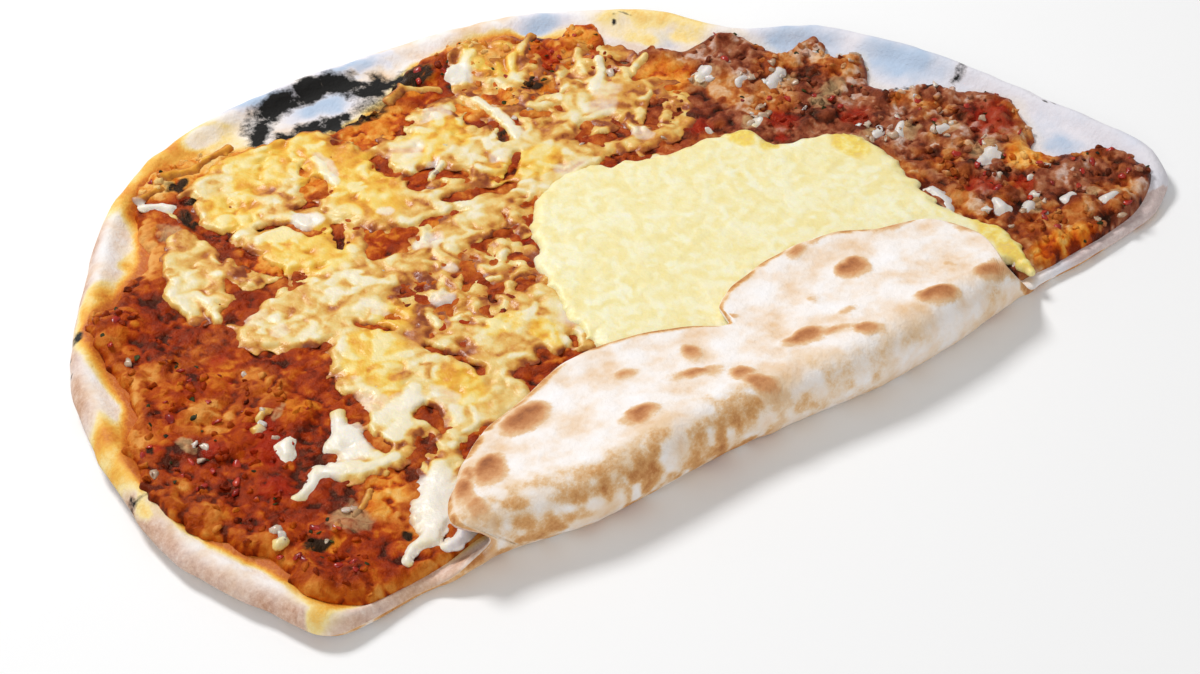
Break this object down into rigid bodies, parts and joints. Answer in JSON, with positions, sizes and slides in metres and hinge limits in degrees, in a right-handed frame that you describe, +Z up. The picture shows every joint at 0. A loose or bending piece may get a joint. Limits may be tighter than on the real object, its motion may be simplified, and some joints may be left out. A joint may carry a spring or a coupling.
{
  "type": "lahmacun",
  "caption": "Thin oval flatbread spread with minced beef and melted cheese, its near side folded over the filling.",
  "frame": {"origin": "on the table, under the middle of the bread's bounding box", "axes": "+X along the fold, +Y from the fold to the far rim, +Z up"},
  "size_m": [0.3, 0.1998, 0.0178],
  "materials": {
    "flatbread": "dry floured crust with brown baked spots",
    "minced_beef": "oily red-brown mince",
    "soft_cheese": "smooth melted cheese with a soft shine",
    "grated_cheese": "melted strands, golden where thin"
  },
  "bodies": {
    "root": {"bread": "flatbread", "minced_beef": "minced_beef", "cheese_patch": "soft_cheese", "grated_cheese": "grated_cheese"}
  },
  "joints": []
}
